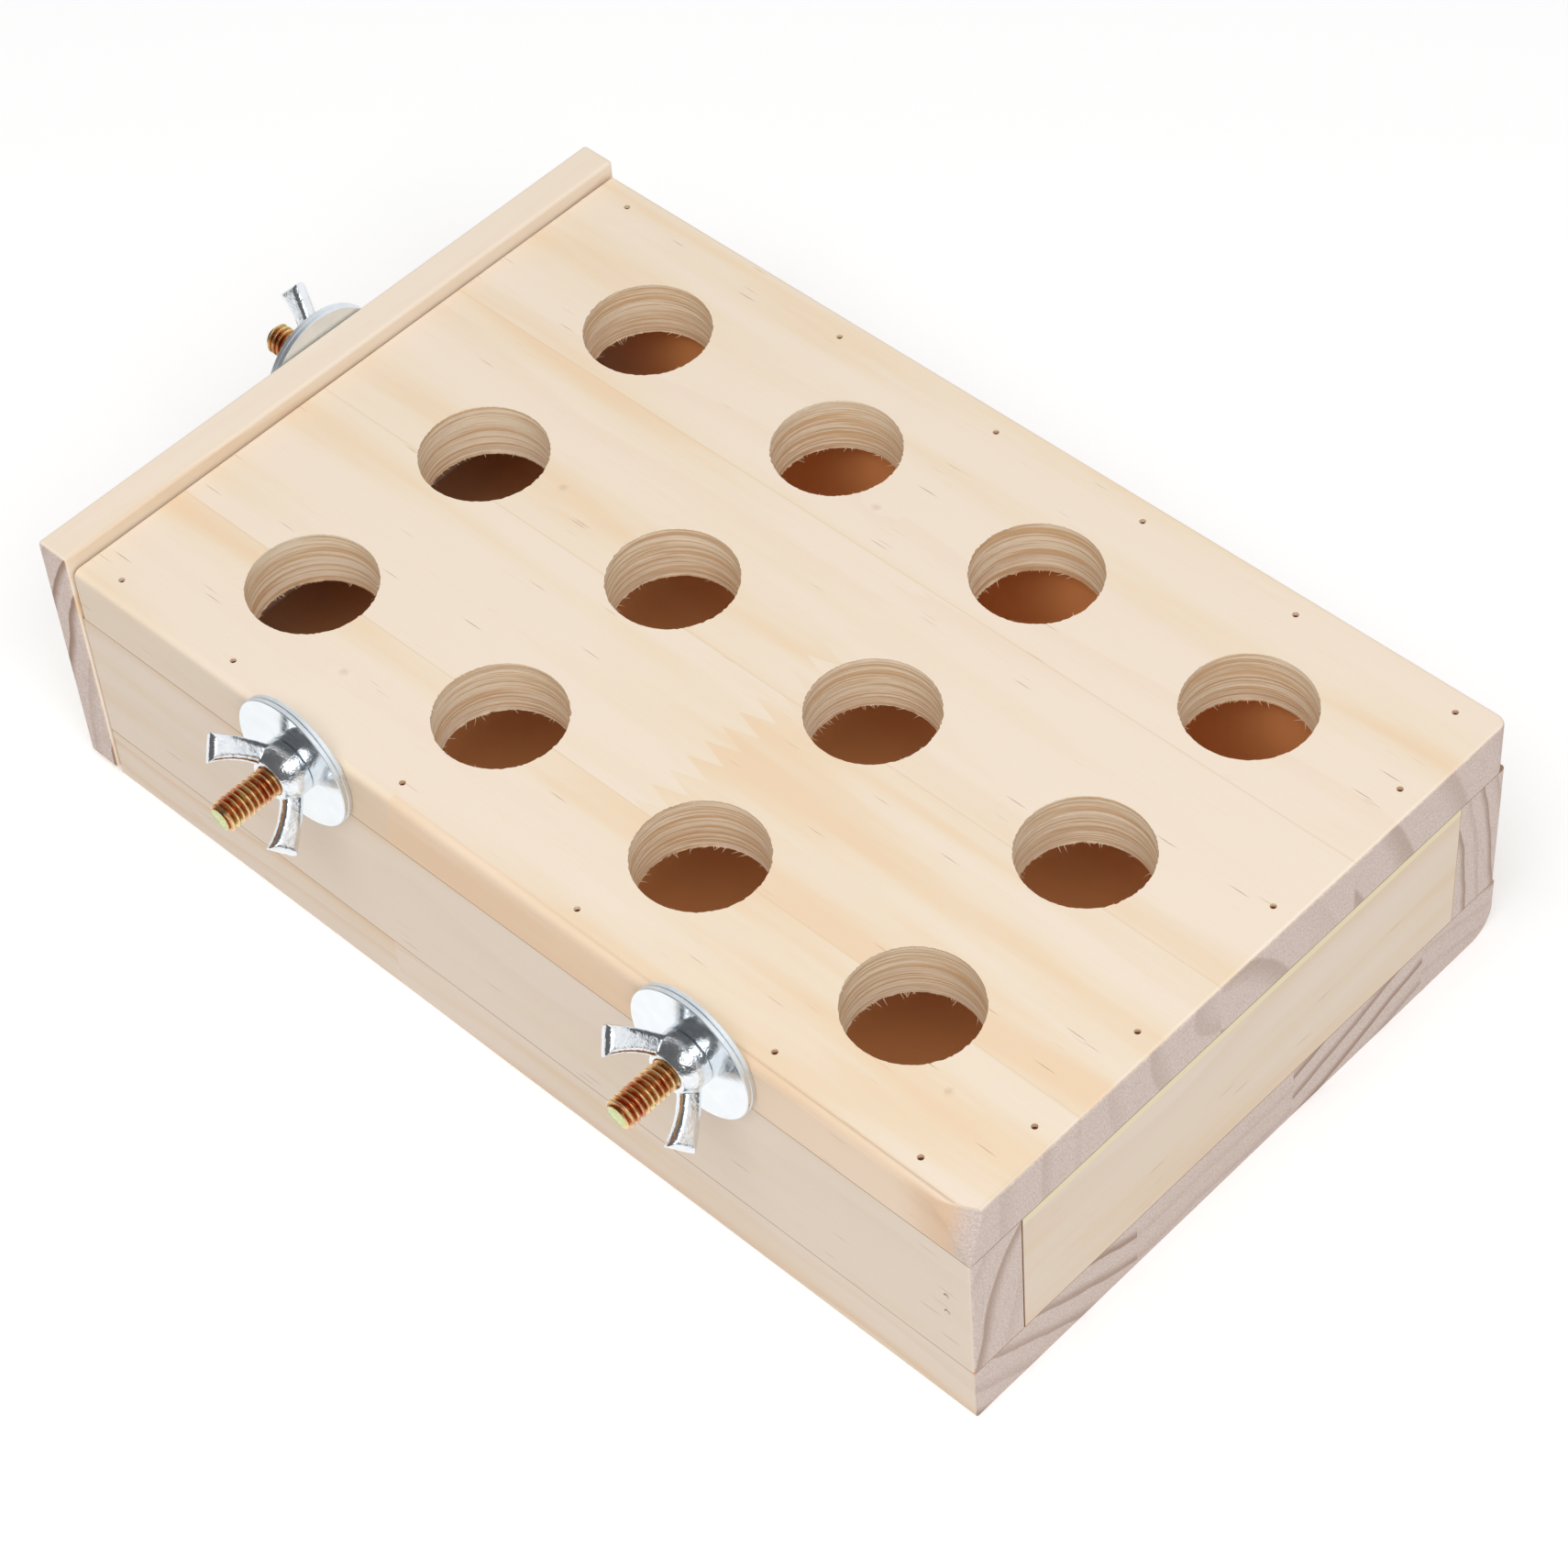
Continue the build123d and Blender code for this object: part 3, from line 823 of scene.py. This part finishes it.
def sound_mesh(mesh):
    """Removes faces with no area and turns every face outwards."""
    bm = bmesh.new()
    bm.from_mesh(mesh)
    bmesh.ops.dissolve_degenerate(bm, edges=bm.edges, dist=1e-7)
    bmesh.ops.recalc_face_normals(bm, faces=bm.faces)
    bm.to_mesh(mesh)
    bm.free()


def wind(name, thread, place):
    """One length of thread, with a turn to spare at each end."""
    turns = math.ceil(thread["Length"] / thread["Pitch"]) + 2
    length = grow(name, thread_tree, {**thread, "Turns": turns}, place)
    sound_mesh(length.data)
    shade_softly(length.data, 50)
    return length


for number, (side, (spot, outwards, reach)) in enumerate(stud_spots.items()):
    place = Matrix.Translation(spot) @ outwards
    # no two threads start at the same angle
    spun = Matrix.Rotation(1.9 * number, 4, "Z")
    outside = wind(f"{side}_thread", {**machine_thread, "Length": reach}, place @ spun)
    inside = wind(f"{side}_screw", wood_screw, place @ half_turn)
    both = [outside, inside]
    with bpy.context.temp_override(active_object=outside, selected_editable_objects=both):
        bpy.ops.object.join()
    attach(outside, "root")
    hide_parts(f"{side}_stud")

# ---------------------------------------------------------------------------------------
# Washers. Two on each stud, punched from sheet steel and bright zinc plated. The faces are
# nearly mirrors, with faint rolling marks, and the cut rims are much duller.
# ---------------------------------------------------------------------------------------
washer_finish, w, shader = new_finish("bright_zinc_sheet")
sheet_place = w.divided(w.split(w.place()), (1 / 0.3, 1 / 0.3, 1 / 2.4))
rolled = w.noise(w.vector(*sheet_place), detail=5.0, roughness=0.6)
cloud = w.noise(w.place(0.25), detail=2.0)
facing = w.facing()
flatness = w.maths("MAXIMUM", w.maths("ABSOLUTE", facing[0]), w.maths("ABSOLUTE", facing[1]))
rim_dullness = w.fade(flatness, 0.9, 0.98, 0.42, 0.0)
washer_surface = {
    "Base Color": w.blend(cloud, sheet_colour(222, 230, 236), sheet_colour(238, 243, 247)),
    "Roughness": w.maths("ADD", rim_dullness, w.fade(rolled, 0.35, 0.7, 0.08, 0.2)),
    "Normal": w.bump(w.maths("MULTIPLY_ADD", cloud, 3.0, rolled), 0.03 * MM, 0.35),
    "Metallic": 1.0,
}
w.feed(shader, washer_surface)
for name, node in nodes.items():
    if name.endswith("_washer"):
        dress(node, washer_finish)

# ---------------------------------------------------------------------------------------
# Wing nuts. Cast in one piece with two wings, tumbled so that every edge is soft, then
# bright zinc plated like the washers.
# ---------------------------------------------------------------------------------------
cast_finish, w, shader = new_finish("bright_zinc_casting")
dimples = w.noise(w.place(0.55), detail=3.0, roughness=0.6)
pits = w.noise(w.place(3.2), detail=3.0)
cast_surface = {
    "Base Color": w.blend(dimples, sheet_colour(214, 220, 226), sheet_colour(246, 248, 250)),
    "Roughness": w.fade(pits, 0.3, 0.75, 0.1, 0.26),
    "Normal": w.bump(w.maths("MULTIPLY_ADD", dimples, 4.0, pits), 0.06 * MM, 0.75),
    "Metallic": 1.0,
}
w.feed(shader, cast_surface)


def tumble(node, name):
    """A copy of a node's mesh as a new piece, with every edge worn soft."""
    bm = bmesh.new()
    bm.from_mesh(node.data)
    bmesh.ops.remove_doubles(bm, verts=bm.verts, dist=0.001 * MM)
    mesh = bpy.data.meshes.new(name)
    bm.to_mesh(mesh)
    bm.free()
    piece = show(bpy.data.objects.new(name, mesh))
    voxels = piece.modifiers.new("voxels", "REMESH")
    voxels.mode = "VOXEL"
    voxels.voxel_size = 0.22 * MM
    worn = piece.modifiers.new("worn", "SMOOTH")
    worn.factor = 0.5
    worn.iterations = 5
    evaluated = piece.evaluated_get(bpy.context.evaluated_depsgraph_get())
    mesh = bpy.data.meshes.new_from_object(evaluated)
    piece.modifiers.clear()
    piece.data = mesh
    mesh.shade_smooth()
    return piece


for side in ("left", "right", "cover"):
    cast_nut = tumble(nodes[f"{side}_wing_nut"], f"{side}_cast_nut")
    dress(cast_nut, cast_finish)
    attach(cast_nut, f"{side}_wing_nut")
    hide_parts(f"{side}_wing_nut")

# ---------------------------------------------------------------------------------------
# Floor, light and camera. A plain pale floor under a bright, soft studio. The room is
# even to everything but shiny metal, which sees a dark wall in front and a bright one behind.
# ---------------------------------------------------------------------------------------
bpy.ops.mesh.primitive_plane_add(size=6.0, location=(0, 0, 0))
floor = bpy.context.object
floor.name = "floor"
floor_finish, w, shader = new_finish("pale_floor")
floor_surface = {
    "Base Color": (0.95, 0.95, 0.95, 1.0),
    "Roughness": 0.9,
    "Specular IOR Level": 0.1,
    "Emission Color": (1.0, 1.0, 1.0, 1.0),
    "Emission Strength": 0.16,
}
w.feed(shader, floor_surface)
dress(floor, floor_finish)

world = bpy.data.worlds.new("studio")
bpy.context.scene.world = world
world.use_nodes = True
w = Wiring(world.node_tree)
even_light = (1.0, 1.0, 1.0, 1.0)
dark_wall, bright_wall = 0.3, 2.3
backward = w.split(w.put("ShaderNodeTexCoord"))[1]
walls = w.fade(backward, -0.05, 0.3, dark_wall, bright_wall)
mirrored = w.put("ShaderNodeLightPath", out="Is Glossy Ray")
studio = world.node_tree.nodes["Background"]
w.feed(studio, {"Color": w.blend(mirrored, even_light, walls), "Strength": 0.46})
bpy.context.scene.view_settings.view_transform = "Standard"


def soft_light(name, spot, size, power):
    """A square panel of light that faces the middle of the box."""
    lamp = bpy.data.lights.new(name, "AREA")
    lamp.size = size
    lamp.energy = power
    panel = show(bpy.data.objects.new(name, lamp))
    toward_box = Vector((0, 0, 0.03)) - Vector(spot)
    panel.location = spot
    panel.rotation_euler = toward_box.to_track_quat("-Z", "Y").to_euler()
    return panel


# only the second panel shows in the metal, as one highlight on each nut
key_panel = soft_light("key_panel", (0.12, -0.74, 1.50), 1.1, 10.6)
key_panel.visible_glossy = False
soft_light("end_panel", (1.0, -0.35, 1.25), 0.8, 7.7)

camera_data = bpy.data.cameras.new("camera")
camera_data.lens = 101.573
camera_data.sensor_width = 36.0
camera = show(bpy.data.objects.new("camera", camera_data))
view_axes = Matrix(
    ((0.72538, -0.49447, 0.47888), (0.68606, 0.57602, -0.44443), (-0.05609, 0.65092, 0.75707))
)
camera.matrix_world = Matrix.Translation((0.40870, -0.37911, 0.66520)) @ view_axes.to_4x4()
bpy.context.scene.camera = camera
